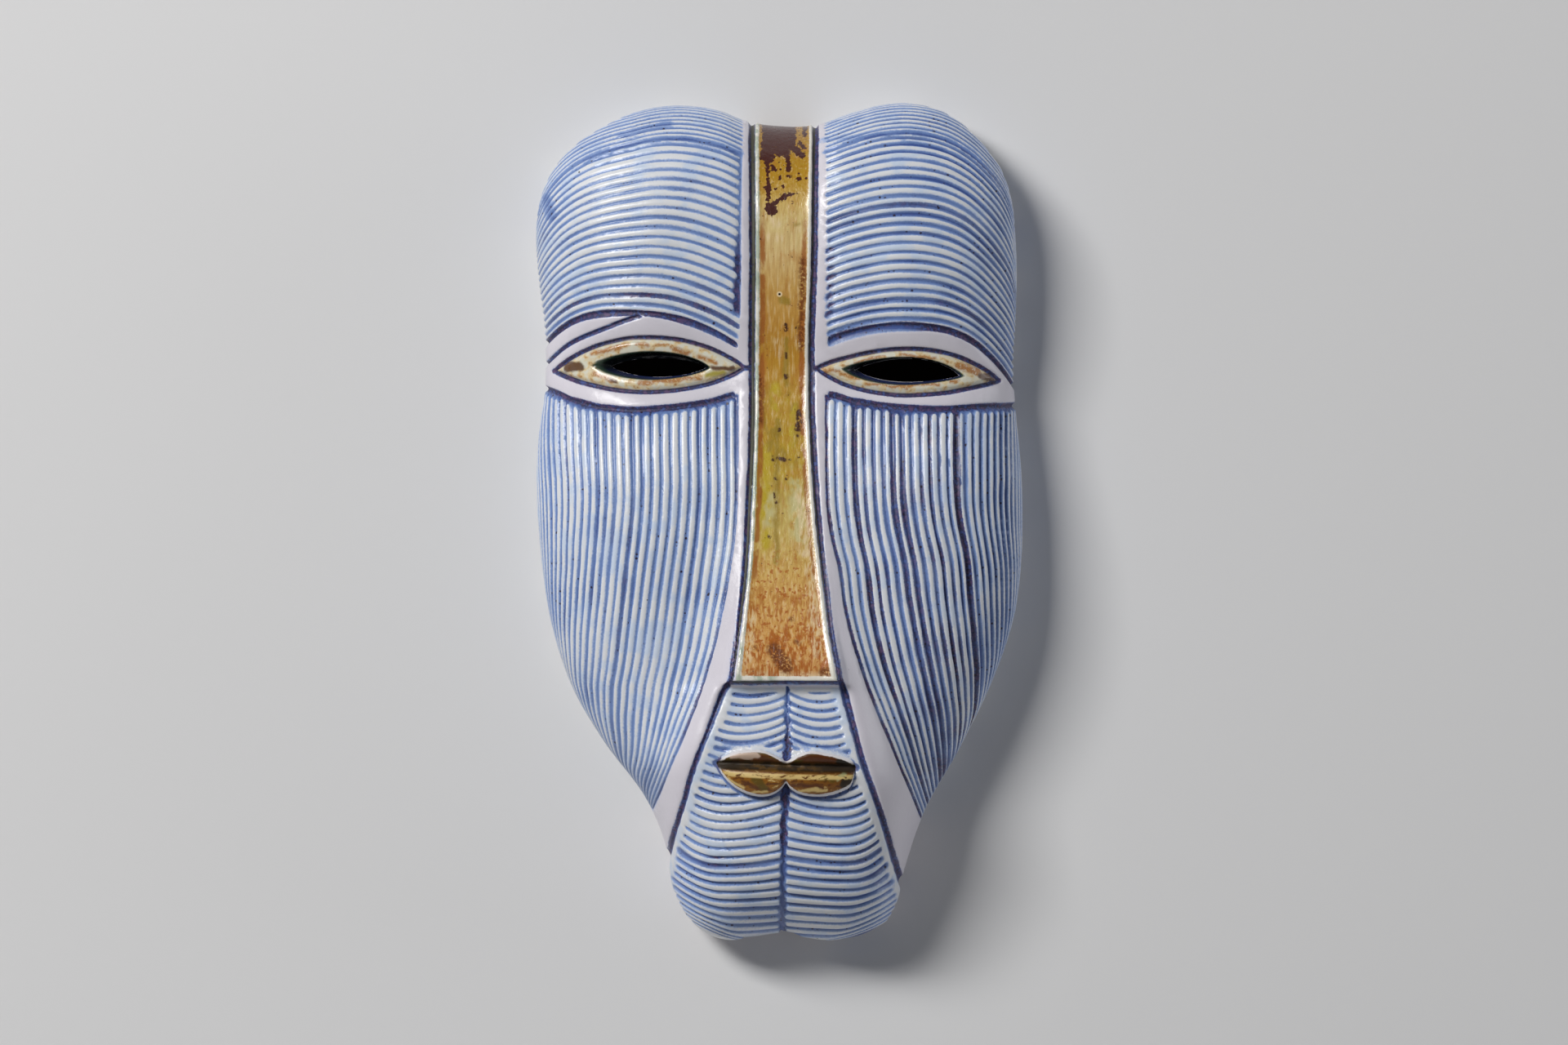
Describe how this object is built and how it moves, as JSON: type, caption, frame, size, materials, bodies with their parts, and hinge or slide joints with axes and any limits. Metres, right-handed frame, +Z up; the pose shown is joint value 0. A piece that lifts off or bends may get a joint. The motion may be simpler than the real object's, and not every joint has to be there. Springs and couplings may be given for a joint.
{
  "type": "ceramic wall mask",
  "caption": "Hollow glazed ceramic wall mask: long nose band, slit eyes, small lips, combed all over, open at the back.",
  "frame": {"origin": "on the flat back rim, at the middle of the top, where the mask meets the wall", "axes": "+Z up along the height, +Y into the wall, the face looks along -Y, +X to the right seen from the front"},
  "size_m": [0.174, 0.0687, 0.2994],
  "materials": {
    "glaze": "gloss white and cobalt glaze over combed clay"
  },
  "bodies": {
    "root": {"mask": "glaze"}
  },
  "joints": []
}
